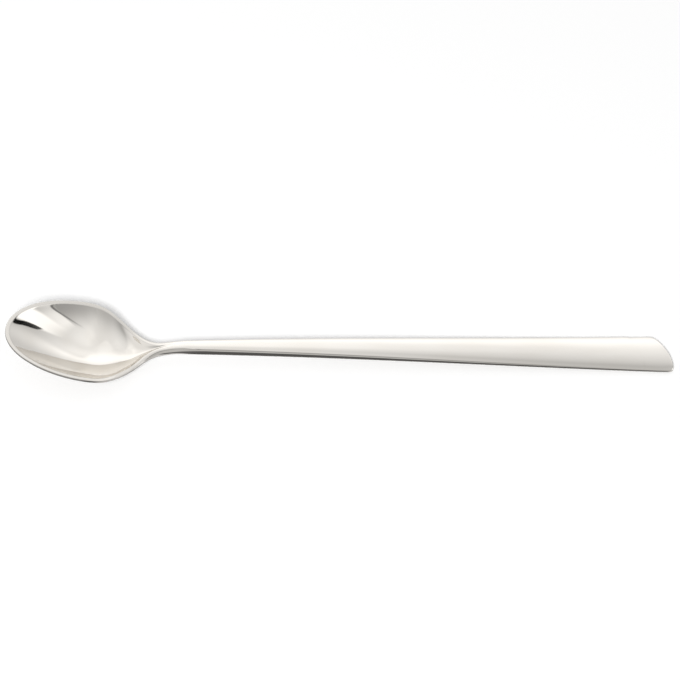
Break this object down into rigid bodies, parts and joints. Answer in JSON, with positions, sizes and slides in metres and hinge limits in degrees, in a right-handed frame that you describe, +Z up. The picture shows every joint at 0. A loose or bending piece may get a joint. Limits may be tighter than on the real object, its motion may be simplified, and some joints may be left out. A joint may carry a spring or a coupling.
{
  "type": "iced tea spoon",
  "caption": "Long-handled stainless steel spoon: small oval bowl, slim neck and a flat tapered handle that widens to a slanted end. Stirs and sips from tall glasses.",
  "frame": {"origin": "on the surface the spoon rests on, under the middle of its bounding box", "axes": "+X from the bowl's tip to the end of the handle, +Y across, +Z up out of the hollow"},
  "size_m": [0.188, 0.027, 0.0127],
  "materials": {
    "bowl_steel": "mirror-polished stainless steel",
    "handle_steel": "polished stainless steel with a faint lengthways grain"
  },
  "bodies": {
    "root": {"bowl": "bowl_steel", "neck": "handle_steel", "handle": "handle_steel"}
  },
  "joints": []
}
